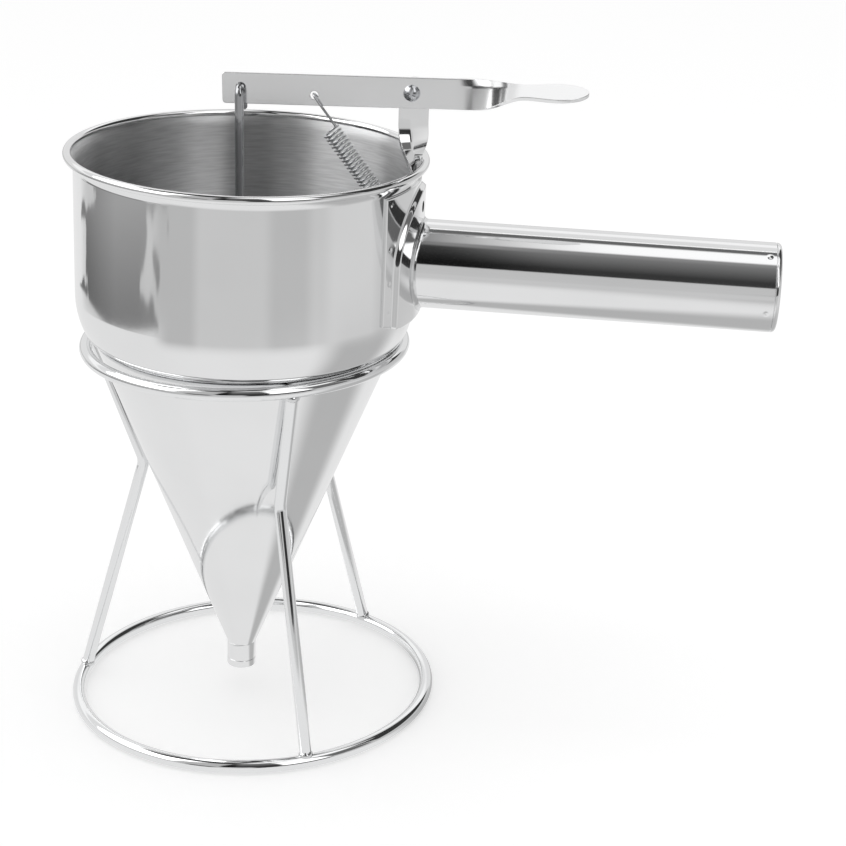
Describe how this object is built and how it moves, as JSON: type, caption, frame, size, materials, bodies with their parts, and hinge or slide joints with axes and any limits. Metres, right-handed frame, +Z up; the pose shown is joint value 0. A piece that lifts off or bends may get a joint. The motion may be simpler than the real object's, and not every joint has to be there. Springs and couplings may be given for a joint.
{
  "type": "pancake batter dispenser",
  "caption": "Sheet-steel batter funnel with a tube handle and a sprung thumb lever that lifts a rod valve, resting in a wire stand.",
  "frame": {"origin": "on the table, at the centre of the stand's base ring", "axes": "+Z up, +X along the handle, away from the bowl, +Y to the back of the picture's view"},
  "size_m": [0.2928, 0.156, 0.2694],
  "materials": {
    "chromed_wire": "bright chrome plate over steel wire",
    "polished_sheet": "mirror-polished stainless steel sheet, brushed on the inside of the bowl",
    "weld_metal": "ground weld, slightly dull",
    "fastener_steel": "plated screw, washers and nut",
    "satin_sheet": "satin stainless strap with a polished thumb pad",
    "spring_wire": "bright spring wire",
    "rod_wire": "bright drawn stainless wire",
    "turned_steel": "turned stainless steel"
  },
  "bodies": {
    "stand": {"base_ring": "chromed_wire", "support_ring": "chromed_wire", "leg_left": "chromed_wire", "leg_front": "chromed_wire", "leg_back": "chromed_wire"},
    "funnel": {"bowl": "polished_sheet", "cone": "polished_sheet", "outlet_collar": "polished_sheet", "handle_plate": "polished_sheet", "handle_weld_bead": "weld_metal", "handle_tube": "polished_sheet", "handle_end_cap": "polished_sheet", "lever_bracket": "polished_sheet", "pivot_screw": "fastener_steel", "pivot_washers": "fastener_steel", "pivot_nut": "fastener_steel"},
    "lever": {"lever": "satin_sheet", "spring": "spring_wire"},
    "valve_rod": {"rod": "rod_wire", "valve_plug": "turned_steel"}
  },
  "joints": [
    {"name": "funnel_lift", "type": "slide", "parent": "stand", "child": "funnel", "axis": [0, 0, 1], "range_m": [0, 0.16]},
    {"name": "lever_pivot", "type": "hinge", "parent": "funnel", "child": "lever", "pos_m": [0.06829, 0, 0.26316], "axis": [0, 1, 0], "range_deg": [0, 15], "stiffness_Nm_per_rad": 1, "springref_deg": -17.19, "deforming": ["spring"]},
    {"name": "rod_swing", "type": "hinge", "parent": "lever", "child": "valve_rod", "pos_m": [0.00079, 0, 0.26368], "axis": [0, 1, 0], "range_deg": [-16, 1]}
  ],
  "couplings": [
    {"joint": "rod_swing", "follows": "lever_pivot", "ratio": -1}
  ]
}
